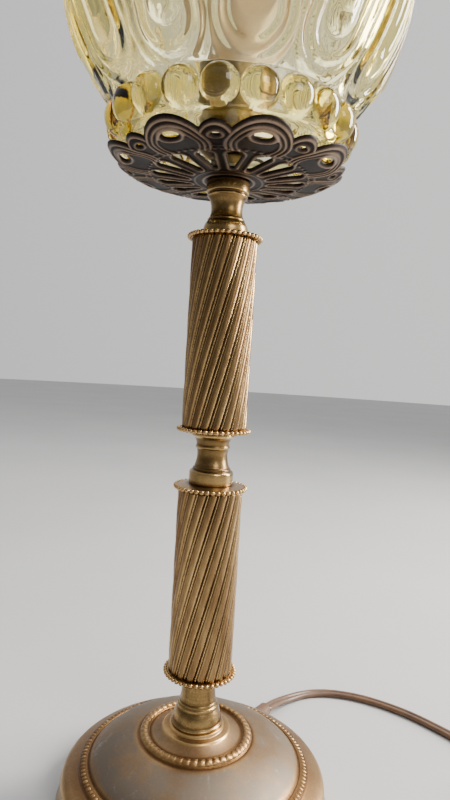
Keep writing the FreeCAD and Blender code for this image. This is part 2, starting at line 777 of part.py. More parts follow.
def plug_body():
    """Moulded plug: narrow at the cord, full width from its shoulder to its face."""
    half = PLUG_WIDTH / 2
    neck = 6.5
    shoulder = 13.0
    corners = [V(0, -neck, 0), V(shoulder, -half, 0), V(PLUG_LENGTH, -half, 0),
               V(PLUG_LENGTH, half, 0), V(shoulder, half, 0), V(0, neck, 0), V(0, -neck, 0)]
    body = Part.Face(Part.makePolygon(corners)).extrude(V(0, 0, PLUG_HEIGHT))
    body = body.makeFillet(2.5, body.Edges)
    cord_hole = flat_section(V(0, 0, PLUG_HEIGHT / 2), V(0, 1, 0), UP).extrude(V(PLUG_CORD_DEPTH, 0, 0))
    return plug_place(body.cut([cord_hole] + plug_blade_boxes()))


def plug_blades():
    return plug_place(Part.makeCompound(plug_blade_boxes()))


# --- the lamp -----------------------------------------------------------------------------

def main():
    os.makedirs("parts", exist_ok=True)
    for build in (base_shell, base_weight, base_board, base_felt, base_washer, base_nut,
                  cord_bushing, threaded_pipe, lower_neck, middle_neck, upper_neck,
                  gallery, gallery_washer, gallery_nut, glass_shade,
                  socket_cap, socket_set_screw, socket_body, terminal_screws, socket_liner,
                  socket_shell, screw_shell, centre_contact,
                  bulb_contact, bulb_insulator, bulb_cap, bulb_envelope, bulb_stem, filament,
                  lamp_lead, cord_coil, coil_tie, switch_lower_half, switch_upper_half,
                  switch_wheel, switch_pin, switch_contacts, switch_screws, plug_body, plug_blades):
        save(build.__name__, build())
    save("cord_run", flat_cord("cord_run", CORD_ROUTE))
    save("cord_tail", flat_cord("cord_tail", TAIL_ROUTE))
    for index, column_name in enumerate(("lower", "upper")):
        foot_z, head_z = BEAD_Z[2 * index:2 * index + 2]
        save(f"{column_name}_column", column(foot_z, head_z))
        save(f"{column_name}_foot_cap", column_cap(foot_z, -1))
        save(f"{column_name}_head_cap", column_cap(head_z, 1))


main()
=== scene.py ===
"""Looks for the table lamp: camera, light, cord, then every visible piece and its material.

Metres, +Z up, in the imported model's own frame. MM turns the lamp's millimetre sizes into metres.
"""
import math

import bpy
import numpy as np
from mathutils import Matrix, Vector


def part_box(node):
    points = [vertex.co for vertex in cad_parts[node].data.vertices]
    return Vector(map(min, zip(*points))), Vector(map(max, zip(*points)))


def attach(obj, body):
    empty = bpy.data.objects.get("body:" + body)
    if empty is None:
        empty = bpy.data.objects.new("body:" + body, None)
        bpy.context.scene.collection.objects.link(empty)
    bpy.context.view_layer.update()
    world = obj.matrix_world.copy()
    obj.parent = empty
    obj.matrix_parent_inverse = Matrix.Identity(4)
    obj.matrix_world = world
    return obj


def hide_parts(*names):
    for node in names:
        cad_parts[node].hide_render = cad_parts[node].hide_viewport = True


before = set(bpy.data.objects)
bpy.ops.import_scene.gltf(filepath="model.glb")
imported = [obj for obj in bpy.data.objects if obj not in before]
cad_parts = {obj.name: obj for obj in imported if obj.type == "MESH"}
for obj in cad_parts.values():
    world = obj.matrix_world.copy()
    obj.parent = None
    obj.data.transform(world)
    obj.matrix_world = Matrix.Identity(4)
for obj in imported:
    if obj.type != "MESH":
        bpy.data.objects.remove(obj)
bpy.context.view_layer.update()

MM = 0.001
TURN = 2 * math.pi
UP = Vector((0, 0, 1))
scene = bpy.context.scene


# --- camera, floor and light --------------------------------------------------------------

CAMERA_PLACE = (0.0, -0.315, 0.232)
CAMERA_YAW = -0.9
CAMERA_PITCH = 3.01
CAMERA_ROLL = 3.44
CAMERA_LENS = 27.09
FLOOR_DROP = 0.0003
FLOOR_R = 6.0
FLOOR_POINTS = 64

# name, place, size in metres, watts and colour of each light. All look at LIT_PLACE
LIT_PLACE = Vector((0, 0, 0.25))
LIGHTS = (
    ("window", (1.1, 0.22, 0.75), (0.30, 1.2), 58.0, (1.0, 0.95, 0.88)),
    ("fill", (0.6, -0.9, 0.8), (0.5, 0.5), 5.0, (1.0, 0.97, 0.93)),
    ("sky", (0.2, 0.6, 1.6), (1.4, 1.4), 12.0, (0.95, 0.97, 1.0)),
)

# the room: pale behind and to the right of the lamp, dimmer to its left and in front
BRIGHT_SIDE = (0.68, 0.66, 0.32)
SHADE_SIDE = (0.22, 0.215, 0.21)
PALE_WALL = (0.62, 0.62, 0.64)
BRIGHT_WALL = (0.95, 0.94, 0.92)


def make_camera():
    yaw, pitch, roll = (math.radians(a) for a in (CAMERA_YAW, CAMERA_PITCH, CAMERA_ROLL))
    level = Vector((-math.sin(yaw), math.cos(yaw), 0))
    right = Vector((math.cos(yaw), math.sin(yaw), 0))
    forward = level * math.cos(pitch) - UP * math.sin(pitch)
    above = UP * math.cos(pitch) + level * math.sin(pitch)
    camera_right = right * math.cos(roll) + above * math.sin(roll)
    camera_up = above * math.cos(roll) - right * math.sin(roll)
    turn = Matrix((camera_right, camera_up, -forward)).transposed()
    data = bpy.data.cameras.new("camera")
    data.lens = CAMERA_LENS
    data.sensor_width = 36.0
    data.clip_start = 0.01
    camera = bpy.data.objects.new("camera", data)
    camera.matrix_world = Matrix.Translation(CAMERA_PLACE) @ turn.to_4x4()
    scene.collection.objects.link(camera)
    scene.camera = camera


def area_light(name, place, size, power, colour):
    """A rectangle of light that looks at the lamp's middle."""
    data = bpy.data.lights.new(name, "AREA")
    data.shape = "RECTANGLE"
    data.size, data.size_y = size
    data.energy = power
    data.color = colour
    light = bpy.data.objects.new(name, data)
    light.location = place
    way = LIT_PLACE - Vector(place)
    light.rotation_euler = way.to_track_quat("-Z", "Y").to_euler()
    scene.collection.objects.link(light)


def make_light():
    for light in LIGHTS:
        area_light(*light)
    world = bpy.data.worlds.new("studio")
    scene.world = world
    sky = Look(world, "Background")
    along = sky.add("VectorMath", "Value", {0: sky.add("TexCoord", "Generated"), 1: BRIGHT_SIDE},
                    operation="DOT_PRODUCT")
    side = sky.maths("MULTIPLY_ADD", along, 0.5, 0.5)
    room = sky.ramp(side, [(0.08, SHADE_SIDE), (0.55, PALE_WALL), (1.0, BRIGHT_WALL)])
    sky.shade({"Color": room})


# --- node materials -----------------------------------------------------------------------

class Look:
    """The nodes of a material or of the world. A value is a number, a tuple or a node's output."""

    def __init__(self, owner, shader):
        owner.use_nodes = True
        self.owner = owner
        self.tree = owner.node_tree
        self.shader = self.tree.nodes[shader]

    def put(self, node, inputs):
        """Gives inputs of a node, by name or number, their values."""
        for key, value in inputs.items():
            socket = node.inputs[key]
            if isinstance(value, bpy.types.NodeSocket):
                self.tree.links.new(value, socket)
            elif socket.type == "RGBA":
                socket.default_value = (*value, 1)
            else:
                socket.default_value = value

    def shade(self, inputs):
        self.put(self.shader, inputs)

    def add(self, kind, output, inputs=None, **settings):
        """A new node, of which one output is returned."""
        node = self.tree.nodes.new("ShaderNode" + kind)
        for name, value in settings.items():
            setattr(node, name, value)
        self.put(node, inputs or {})
        return node.outputs[output]

    def noise(self, scale, detail=4.0, stretch=None, roughness=0.55):
        """A noise in object space, stretched along an axis where asked."""
        place = self.add("TexCoord", "Object")
        if stretch is not None:
            place = self.add("Mapping", "Vector", {"Vector": place, "Scale": stretch})
        return self.add("TexNoise", "Fac", {"Vector": place, "Scale": scale,
                                            "Detail": detail, "Roughness": roughness})

    def ramp(self, source, stops):
        """Colours at places from 0 to 1, or grey levels where a stop is one number."""
        output = self.add("ValToRGB", "Color", {"Fac": source})
        elements = output.node.color_ramp.elements
        while len(elements) < len(stops):
            elements.new(0.5)
        for element, (place, colour) in zip(elements, stops):
            element.position = place
            element.color = (*(colour if isinstance(colour, tuple) else [colour] * 3), 1)
        return output

    def maths(self, operation, *values):
        return self.add("Math", "Value", dict(enumerate(values)), operation=operation)

    def weigh(self, first, second, share):
        """Sum of two values, the second's share given."""
        return self.maths("ADD", self.maths("MULTIPLY", first, 1 - share),
                          self.maths("MULTIPLY", second, share))

    def blend(self, factor, first, second):
        return self.add("Mix", "Result", {"Factor": factor, "A": first, "B": second},
                        data_type="RGBA")

    def field(self, name):
        """Values that the mesh carries at its points."""
        return self.add("Attribute", "Fac", attribute_name=name)

    def bump(self, height, strength, distance):
        self.shade({"Normal": self.add("Bump", "Normal", {"Height": height, "Strength": strength,
                                                          "Distance": distance})})


def surface(name):
    return Look(bpy.data.materials.new(name), "Principled BSDF")


# how closely packed each noise is, per metre
CLOUD_SCALE = 70.0
STAIN_SCALE = 48.0
DUST_SCALE = 38.0
SCUFF_SCALE = 55.0
PLASTIC_SCALE = 120.0
FELT_SCALE = 1400.0
RIPPLE_SCALE = 130.0
HAZE_SCALE = 300.0
FLOOR_SCALE = 3.0

SCUFF = (0.46, 0.42, 0.38)
SCUFF_STRETCH = (2.0, 1.3, 1.0)
GRAIN_DEPTH = 0.00012


def aged_metal(name, dark, middle, bright, rough, relief=False, fine=900.0, dust=None,
               streak=None, tarnish=None):
    """Metal with a patina, with painted shade in the low places and painted highlights on the high
    ones.

    rough is its roughness where dark and where bright. When asked, it reads the piece's own field
    of painted shade and highlights, fine is the grain's scale, dust is a colour and an amount,
    streak draws the noise out along an axis, and tarnish is the colour of its stains.
    """
    look = surface(name)
    cloud = look.noise(CLOUD_SCALE, 6.0, stretch=streak)
    grain = look.noise(fine, 5.0, stretch=streak)
    wear = look.weigh(cloud, grain, 0.4)
    if relief:
        # the field paints shade in the piece's hollows and highlights on its ridges and edges
        wear = look.weigh(wear, look.field("relief"), 0.55)
    colour = look.ramp(wear, [(0.18, dark), (0.46, middle), (0.80, bright)])
    roughness = look.ramp(wear, [(0.2, rough[0]), (0.8, rough[1])])
    if tarnish is not None:
        stain = look.noise(STAIN_SCALE, 7.0, stretch=streak, roughness=0.65)
        colour = look.blend(look.ramp(stain, [(0.48, 0.0), (0.64, 0.65)]), colour, tarnish)
    if dust is not None:
        dust_colour, amount = dust
        patch = look.ramp(look.noise(DUST_SCALE, 8.0, roughness=0.7),
                          [(0.30, 0.25 * amount), (0.55, amount)])
        patch = look.maths("MULTIPLY", patch, look.field("dusty"))
        colour = look.blend(patch, colour, dust_colour)
        scratch = look.noise(SCUFF_SCALE, 9.0, stretch=SCUFF_STRETCH, roughness=0.78)
        scuff = look.maths("MULTIPLY", patch, look.ramp(scratch, [(0.57, 0.0), (0.76, 0.75)]))
        colour = look.blend(scuff, colour, SCUFF)
        roughness = look.maths("ADD", roughness, look.maths("MULTIPLY", patch, 0.25))
    look.shade({"Metallic": 1.0, "Base Color": colour, "Roughness": roughness})
    look.bump(grain, 0.35, GRAIN_DEPTH)
    return look.owner


def plastic(name, dark, bright, rough, grain_scale, grain_depth, coat=0.0):
    look = surface(name)
    cloud = look.noise(PLASTIC_SCALE, 4.0)
    grain = look.noise(grain_scale, 3.0)
    look.shade({"Base Color": look.ramp(cloud, [(0.3, dark), (0.7, bright)]),
                "Roughness": look.ramp(grain, [(0.3, rough - 0.06), (0.7, rough + 0.08)]),
                "Coat Weight": coat, "Coat Roughness": 0.2})
    look.bump(grain, 0.4, grain_depth)
    return look.owner


def felt_material():
    look = surface("felt")
    fibre = look.noise(FELT_SCALE, 8.0, roughness=0.8)
    colour = look.ramp(fibre, [(0.3, (0.018, 0.035, 0.02)), (0.7, (0.05, 0.085, 0.05))])
    look.shade({"Base Color": colour, "Roughness": 0.95, "Sheen Weight": 0.5})
    look.bump(fibre, 0.8, 0.0003)
    return look.owner


GLASS_COLOUR = (1.0, 0.985, 0.93)
GLASS_ABSORBS = (0.96, 0.86, 0.10)
GLASS_DENSITY = 105.0


def amber_glass():
    """Pressed glass: nearly clear where it is thin, amber where it is thick."""
    look = surface("amber_glass")
    ripple = look.noise(RIPPLE_SCALE, 2.0)
    look.shade({"Base Color": GLASS_COLOUR, "Transmission Weight": 1.0, "IOR": 1.5,
                "Roughness": look.ramp(ripple, [(0.3, 0.02), (0.8, 0.05)])})
    look.bump(ripple, 0.25, 0.0006)
    volume = look.add("VolumeAbsorption", "Volume",
                      {"Color": GLASS_ABSORBS, "Density": GLASS_DENSITY})
    look.put(look.tree.nodes["Material Output"], {"Volume": volume})
    return look.owner


def frosted_glass():
    look = surface("frosted_glass")
    haze = look.noise(HAZE_SCALE, 3.0)
    colour = look.ramp(haze, [(0.3, (0.95, 0.74, 0.60)), (0.7, (1.0, 0.83, 0.70))])
    look.shade({"Base Color": colour, "Roughness": look.ramp(haze, [(0.3, 0.34), (0.7, 0.42)]),
                "Transmission Weight": 0.35, "IOR": 1.45,
                "Coat Weight": 0.6, "Coat Roughness": 0.05})
    return look.owner


def floor_material():
    look = surface("floor")
    tone = look.noise(FLOOR_SCALE, 3.0)
    colour = look.ramp(tone, [(0.3, (0.46, 0.46, 0.46)), (0.7, (0.51, 0.51, 0.505))])
    look.shade({"Base Color": colour, "Roughness": 0.6})
    return look.owner


METALS = {
    "brass_relief": dict(dark=(0.022, 0.012, 0.007), middle=(0.17, 0.095, 0.040),
                         bright=(0.56, 0.36, 0.15), rough=(0.46, 0.22), relief=True),
    "neck_brass": dict(dark=(0.016, 0.009, 0.005), middle=(0.19, 0.118, 0.045),
                       bright=(0.62, 0.42, 0.17), rough=(0.36, 0.20), relief=True,
                       tarnish=(0.115, 0.070, 0.034)),
    "reeds": dict(dark=(0.010, 0.006, 0.004), middle=(0.215, 0.126, 0.054),
                  bright=(0.72, 0.50, 0.22), rough=(0.38, 0.18), relief=True, fine=500.0,
                  streak=(1.0, 1.0, 0.22), tarnish=(0.14, 0.068, 0.032)),
    "base_brass": dict(dark=(0.060, 0.027, 0.010), middle=(0.235, 0.126, 0.048),
                       bright=(0.60, 0.39, 0.16), rough=(0.48, 0.28), relief=True,
                       dust=((0.180, 0.152, 0.122), 0.9)),
    "bronze": dict(dark=(0.008, 0.006, 0.005), middle=(0.05, 0.036, 0.028),
                   bright=(0.27, 0.195, 0.140), rough=(0.50, 0.30), relief=True, fine=1400.0),
    "socket_brass": dict(dark=(0.06, 0.042, 0.025), middle=(0.17, 0.125, 0.07),
                         bright=(0.34, 0.26, 0.15), rough=(0.40, 0.26)),
    "steel": dict(dark=(0.30, 0.29, 0.27), middle=(0.48, 0.47, 0.45),
                  bright=(0.66, 0.65, 0.62), rough=(0.46, 0.32)),
    "cap_metal": dict(dark=(0.46, 0.45, 0.43), middle=(0.64, 0.63, 0.61),
                      bright=(0.80, 0.79, 0.77), rough=(0.32, 0.2)),
    "iron": dict(dark=(0.02, 0.02, 0.02), middle=(0.05, 0.05, 0.05),
                 bright=(0.11, 0.10, 0.10), rough=(0.8, 0.6), fine=500.0),
    "blade_brass": dict(dark=(0.50, 0.38, 0.17), middle=(0.70, 0.55, 0.27),
                        bright=(0.84, 0.70, 0.40), rough=(0.34, 0.22)),
}
PLASTICS = {
    "cord": dict(dark=(0.075, 0.034, 0.014), bright=(0.135, 0.066, 0.029), rough=0.38,
                 grain_scale=700.0, grain_depth=0.00008, coat=0.15),
    "brown_plastic": dict(dark=(0.055, 0.030, 0.016), bright=(0.085, 0.048, 0.026), rough=0.38,
                          grain_scale=1500.0, grain_depth=0.00006, coat=0.2),
    "tie": dict(dark=(0.02, 0.018, 0.016), bright=(0.035, 0.03, 0.027), rough=0.5,
                grain_scale=1200.0, grain_depth=0.00006),
    "board": dict(dark=(0.16, 0.10, 0.06), bright=(0.27, 0.18, 0.11), rough=0.8,
                  grain_scale=600.0, grain_depth=0.0002),
    "liner": dict(dark=(0.07, 0.05, 0.035), bright=(0.12, 0.09, 0.06), rough=0.7,
                  grain_scale=900.0, grain_depth=0.0001),
    "porcelain": dict(dark=(0.72, 0.70, 0.64), bright=(0.82, 0.80, 0.75), rough=0.2,
                      grain_scale=300.0, grain_depth=0.00003, coat=0.5),
    "black_glass": dict(dark=(0.008, 0.008, 0.012), bright=(0.014, 0.014, 0.02), rough=0.14,
                        grain_scale=300.0, grain_depth=0.00003, coat=0.5),
}
MATERIALS = {name: aged_metal(name, **look) for name, look in METALS.items()}
MATERIALS.update({name: plastic(name, **look) for name, look in PLASTICS.items()})
MATERIALS["felt"] = felt_material()
MATERIALS["amber_glass"] = amber_glass()
MATERIALS["frosted_glass"] = frosted_glass()
MATERIALS["floor"] = floor_material()


# --- mesh building ------------------------------------------------------------------------

def mesh_object(name, points, faces, material, smooth=True, **fields):
    """A piece from points in metres. fields are values at its points, for its material."""
    mesh = bpy.data.meshes.new(name)
    mesh.from_pydata([tuple(p) for p in points], [], [tuple(f) for f in faces])
    mesh.update()
    mesh.polygons.foreach_set("use_smooth", [smooth] * len(mesh.polygons))
    for field, values in fields.items():
        data = mesh.attributes.new(field, "FLOAT", "POINT")
        data.data.foreach_set("value", np.asarray(values, dtype=np.float32))
    mesh.materials.append(MATERIALS[material])
    piece = bpy.data.objects.new(name, mesh)
    scene.collection.objects.link(piece)
    return piece


def grid_faces(rows, columns, first=0, close_rows=False):
    """Quads over a grid whose columns close on themselves."""
    faces = []
    last = rows if close_rows else rows - 1
    for row in range(last):
        after = (row + 1) % rows
        for column in range(columns):
            beside = (column + 1) % columns
            faces.append((first + row * columns + column, first + row * columns + beside,
                          first + after * columns + beside, first + after * columns + column))
    return faces


def rounded(points, radius, steps=3):
    """Closed outline of (r, z) points with each corner rounded a little."""
    out = []
    count = len(points)
    for index in range(count):
        corner = Vector(points[index])
        back = Vector(points[index - 1]) - corner
        on = Vector(points[(index + 1) % count]) - corner
        reach = min(radius, 0.4 * back.length, 0.4 * on.length)
        start = corner + back.normalized() * reach
        end = corner + on.normalized() * reach
        for step in range(steps + 1):
            t = step / steps
            out.append(start * (1 - t) ** 2 + corner * 2 * t * (1 - t) + end * t ** 2)
    return [(p.x, p.y) for p in out]


def arc(start, middle, end, steps):
    """Points after start on the quadratic curve that passes through middle."""
    start, middle, end = Vector(start), Vector(middle), Vector(end)
    pull = middle * 2 - (start + end) / 2
    out = []
    for step in range(1, steps + 1):
        t = step / steps
        p = start * (1 - t) ** 2 + pull * 2 * t * (1 - t) + end * t ** 2
        out.append((p.x, p.y))
    return out


def lathe(profile, count, shape=None):
    """Closed outline in mm turned about the axis. shape(angle, r, z) may move a point."""
    angles = np.arange(count) * TURN / count
    points = []
    for r, z in profile:
        ring_r = np.full(count, float(r))
        ring_z = np.full(count, float(z))
        if shape is not None:
            ring_r, ring_z = shape(angles, ring_r, ring_z)
        points.append(np.stack([ring_r * np.cos(angles), ring_r * np.sin(angles), ring_z], 1))
    return np.concatenate(points) * MM, grid_faces(len(profile), count, close_rows=True)


def bead(centre, along, across, radii, rows=7, columns=12):
    """An ellipsoid in mm: radii along the two given directions and their normal."""
    along = Vector(along).normalized()
    across = Vector(across).normalized()
    outward = along.cross(across)
    points = [Vector(centre) - outward * radii[2]]
    for row in range(1, rows):
        lat = math.pi * row / rows
        for column in range(columns):
            lon = TURN * column / columns
            points.append(Vector(centre) + along * (radii[0] * math.sin(lat) * math.cos(lon))
                          + across * (radii[1] * math.sin(lat) * math.sin(lon))
                          - outward * (radii[2] * math.cos(lat)))
    points.append(Vector(centre) + outward * radii[2])
    faces = [(0, 1 + (c + 1) % columns, 1 + c) for c in range(columns)]
    faces += grid_faces(rows - 1, columns, first=1)
    top = len(points) - 1
    base = 1 + (rows - 2) * columns
    faces += [(top, base + c, base + (c + 1) % columns) for c in range(columns)]
    return [p * MM for p in points], faces


class Build:
    """Collects points and faces of one piece, with the painted light and dust at its points."""

    def __init__(self):
        self.points = []
        self.faces = []
        self.relief = []
        self.dusty = []

    def add(self, made, relief=1.0, dusty=0.0):
        points, faces = made
        first = len(self.points)
        self.points.extend(points)
        self.faces.extend(tuple(first + i for i in face) for face in faces)
        count = len(points)
        self.relief.extend(relief if np.ndim(relief) else [relief] * count)
        self.dusty.extend(dusty if np.ndim(dusty) else [dusty] * count)

    def piece(self, name, material):
        return mesh_object(name, self.points, self.faces, material, relief=self.relief,
                           dusty=self.dusty)


def smooth_step(x):
    x = np.clip(x, 0.0, 1.0)
    return x * x * (3 - 2 * x)


def bump_at(x, centre, half_width):
    """A rounded ridge, 1 at its centre and 0 beyond half_width."""
    t = np.clip(np.abs(x - centre) / half_width, 0.0, 1.0)
    return (1 - t * t) ** 2


def sector(angle, count, first):
    """Angle from the nearest of count spokes, the first of them at first."""
    pitch = TURN / count
    return (angle - first + pitch / 2) % pitch - pitch / 2


def stand_for(piece, body, slot, *nodes):
    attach(piece, body)
    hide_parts(*nodes)


# --- cord ---------------------------------------------------------------------------------

CORD_WIDTH = 6.8
CORD_LOBE_R = CORD_WIDTH / 4
LOBE_WRAP = 160.0
LOBE_STEPS = 12
COIL_CENTRE = (215.5, -61.2)
COIL_START = 40.0
COIL_TURNS = 6 - 20 / 360
COIL_STEPS = 16
COIL_RADII = (42.6, 35.8, 35.8, 42.6, 35.8, 42.6)
COIL_LEVELS = (0, 0, 1, 1, 2, 2)
COIL_FIRST_Z = 2.35
COIL_LEVEL_STEP = 3.5
# parts of a turn: how long the coil takes to change its level or radius, and when it starts
COIL_CHANGE = 0.12
RADIUS_CHANGE_AT = 0.03

# from the bushing, along the table, through the switch and up to the coil, in metres
CORD_ROUTE = [
    (0.0445, 0.0712, 0.0090),
    (0.0530, 0.0852, 0.0058),
    (0.0640, 0.0980, 0.0023),
    (0.0775, 0.1063, 0.0017),
    (0.0930, 0.1093, 0.0017),
    (0.1120, 0.1063, 0.0017),
    (0.1310, 0.0973, 0.0017),
    (0.1480, 0.0846, 0.0017),
    (0.1620, 0.0695, 0.0017),
    (0.1755, 0.0528, 0.0020),
    (0.1935, 0.0314, 0.0060),
    (0.2282, -0.0100, 0.0060),
    (0.2481, -0.0338, 0.00235),
]

# from the coil's top layer to the plug, in metres
TAIL_ROUTE = [
    (0.2368, -0.0243, 0.00935),
    (0.2507, -0.0323, 0.0095),
    (0.2628, -0.0425, 0.0091),
    (0.2705, -0.0555, 0.0084),
    (0.2748, -0.0700, 0.0080),
]

ON_CORD = ("plug_body", "plug_blades", "switch_lower_half", "switch_upper_half", "switch_pin",
           "switch_contacts", "switch_screws", "coil_tie")


def coil_route():
    """Turns of the coil, clockwise from above, each level's turns side by side."""
    points = []
    # the spline runs inside its control points, so they stand out by this much
    spread = 1 / math.cos(math.pi / COIL_STEPS) ** 1.5
    for step in range(1, int(COIL_TURNS * COIL_STEPS) + 1):
        turn = step / COIL_STEPS
        level = min(int(turn + 0.5), len(COIL_RADII) - 1)
        rise = smooth_step((turn - level) / COIL_CHANGE + 0.5) if level else 1.0
        z = COIL_LEVELS[level] * rise + COIL_LEVELS[max(level - 1, 0)] * (1 - rise)
        level = min(int(turn), len(COIL_RADII) - 1)
        shift = smooth_step((turn - level - RADIUS_CHANGE_AT) / COIL_CHANGE) if level else 1.0
        radius = COIL_RADII[level] * shift + COIL_RADII[max(level - 1, 0)] * (1 - shift)
        angle = math.radians(COIL_START) - turn * TURN
        points.append(((COIL_CENTRE[0] + radius * spread * math.cos(angle)) * MM,
                       (COIL_CENTRE[1] + radius * spread * math.sin(angle)) * MM,
                       (COIL_FIRST_Z + COIL_LEVEL_STEP * z) * MM))
    return points


def smooth_line(route, name):
    """Points along the NURBS spline that has the route as its control points."""
    curve = bpy.data.curves.new(name, "CURVE")
    curve.dimensions = "3D"
    curve.resolution_u = 8
    spline = curve.splines.new("NURBS")
    spline.points.add(len(route) - 1)
    for point, place in zip(spline.points, route):
        point.co = (*place, 1)
    spline.order_u = 3
    spline.use_endpoint_u = True
    holder = bpy.data.objects.new(name, curve)
    scene.collection.objects.link(holder)
    bpy.context.view_layer.update()
    depsgraph = bpy.context.evaluated_depsgraph_get()
    mesh = bpy.data.meshes.new_from_object(holder.evaluated_get(depsgraph))
    line = [Vector(v.co) for v in mesh.vertices]
    bpy.data.meshes.remove(mesh)
    bpy.data.objects.remove(holder)
    bpy.data.curves.remove(curve)
    return line


def twin_section():
    """Outline of the flat twin cord, two round lobes and the groove between them."""
    section = []
    for side in (1, -1):
        for step in range(LOBE_STEPS + 1):
            angle = math.radians(LOBE_WRAP * (2 * step / LOBE_STEPS - 1))
            section.append((side * (CORD_LOBE_R + CORD_LOBE_R * math.cos(angle)),
                            side * CORD_LOBE_R * math.sin(angle)))
    return section


def make_cord():
    line = smooth_line(CORD_ROUTE + coil_route() + TAIL_ROUTE, "cord_line")
    section = twin_section()
    points = []
    for index, place in enumerate(line):
        along = line[min(index + 1, len(line) - 1)] - line[max(index - 1, 0)]
        across = UP.cross(along).normalized()
        through = along.cross(across).normalized()
        points.extend(place + across * (a * MM) + through * (b * MM) for a, b in section)
    faces = grid_faces(len(line), len(section))
    last = (len(line) - 1) * len(section)
    faces.append(tuple(reversed(range(len(section)))))
    faces.append(tuple(range(last, last + len(section))))
    cord = mesh_object("cord", points, faces, "cord")
    stand_for(cord, "lamp", "cord_plastic", "cord_run", "cord_coil", "cord_tail")
    on_it = [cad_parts[name] for name in ON_CORD]
    on_it.append(make_thumb_wheel())


WHEEL_KNURLS = 36
WHEEL_BORE_R = 1.26
WHEEL_BEVEL = 0.5
KNURL_DEPTH = 0.35


def make_thumb_wheel():
    low, high = (Vector(corner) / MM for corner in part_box("switch_wheel"))
    centre = (low + high) / 2
    outer = (high.x - low.x) / 2
    half = (high.z - low.z) / 2
    flank = half - WHEEL_BEVEL
    rim = outer - WHEEL_BEVEL
    profile = rounded([(WHEEL_BORE_R, -half), (rim, -half), (outer, -flank), (outer, flank),
                       (rim, half), (WHEEL_BORE_R, half)], WHEEL_BEVEL / 2)

    def knurl(angles, r, z):
        edge = smooth_step((r - rim) / WHEEL_BEVEL + 0.4)
        return r - edge * KNURL_DEPTH * (0.5 + 0.5 * np.cos(WHEEL_KNURLS * angles)), z

    points, faces = lathe(profile, WHEEL_KNURLS * 6, knurl)
    points = points + np.array(centre) * MM
    wheel = mesh_object("thumb_wheel", points, faces, "brown_plastic")
    stand_for(wheel, "thumb_wheel", "plug_plastic", "switch_wheel")
    return wheel


# --- columns, caps and necks --------------------------------------------------------------

REEDS = 18
REED_DEPTH = 1.4
REED_TWIST = 86.0
REED_POINTS = 28
CROWN_AT = 0.60
CROWN_HALF = 0.375
SHOULDER = 0.27
FILLET_AT = 0.115
FILLET_HALF = 0.09
COLUMN_ROWS = 72
COLUMN_WALL = 1.8
BEADS = 42
CAP_BEAD_R = 1.2
CAP_GAP = 0.05
CAP_RISE = 1.7
CAP_BORE_R = 5.2
CAP_HUB_R = 11.6
SPIGOT_R = 15.0
SPIGOT_WALL = 1.2
SPIGOT_DEPTH = 4.0
NECK_BORE_R = 5.6
NECK_REACH = 1.8
TURNED_POINTS = 128


def reed_height(u):
    """Section across one reed, 0 in the groove and 1 on the crown. u runs from 0 to 1."""
    crown = np.clip(1 - np.abs((u - CROWN_AT) / CROWN_HALF) ** 2.1, 0, 1) ** 0.55
    fillet = 0.85 * bump_at(u, FILLET_AT, FILLET_HALF) ** 0.5
    return np.maximum(crown, fillet)


def reed_painted_light(u):
    """How bright the metal is painted: highlights on the fillet and on the crown's two shoulders,
    one brighter than the other, and shade in the grooves.
    """
    face = 0.46 * np.clip(1 - np.abs((u - CROWN_AT) / CROWN_HALF) ** 6, 0, 1)
    edge_highlights = bump_at(u, FILLET_AT, FILLET_HALF)
    edge_highlights += 0.40 * bump_at(u, CROWN_AT - SHOULDER, FILLET_HALF)
    edge_highlights += 0.30 * bump_at(u, CROWN_AT + SHOULDER, FILLET_HALF)
    return np.clip(face + edge_highlights, 0, 1)


def make_column(which):
    node = f"{which}_column"
    low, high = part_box(node)
    z0, z1 = low[2] / MM, high[2] / MM
    outer = (high[0] - low[0]) / 2 / MM
    count = REEDS * REED_POINTS
    angles = np.arange(count) * TURN / count
    points = []
    relief = []
    for row in range(COLUMN_ROWS + 1):
        t = row / COLUMN_ROWS
        twist = math.radians(REED_TWIST) * t
        u = ((angles - twist) * REEDS / TURN) % 1.0
        height = reed_height(u)
        r = outer - REED_DEPTH * (1 - height)
        points.append(np.stack([r * np.cos(angles), r * np.sin(angles),
                                np.full(count, z0 + (z1 - z0) * t)], 1))
        # painted highlights on the reeds' edges and painted shade in their grooves
        relief.append(reed_painted_light(u))
    inner = outer - COLUMN_WALL
    for z in (z1, z0):
        points.append(np.stack([inner * np.cos(angles), inner * np.sin(angles),
                                np.full(count, z)], 1))
        # the tube's inside gets the darkest painted shade
        relief.append(np.zeros(count))
    faces = grid_faces(len(points), count, close_rows=True)
    column = mesh_object(f"{which}_reeded_column", np.concatenate(points) * MM, faces,
                         "reeds", relief=np.concatenate(relief))
    stand_for(column, "lamp", "satin_brass", node)


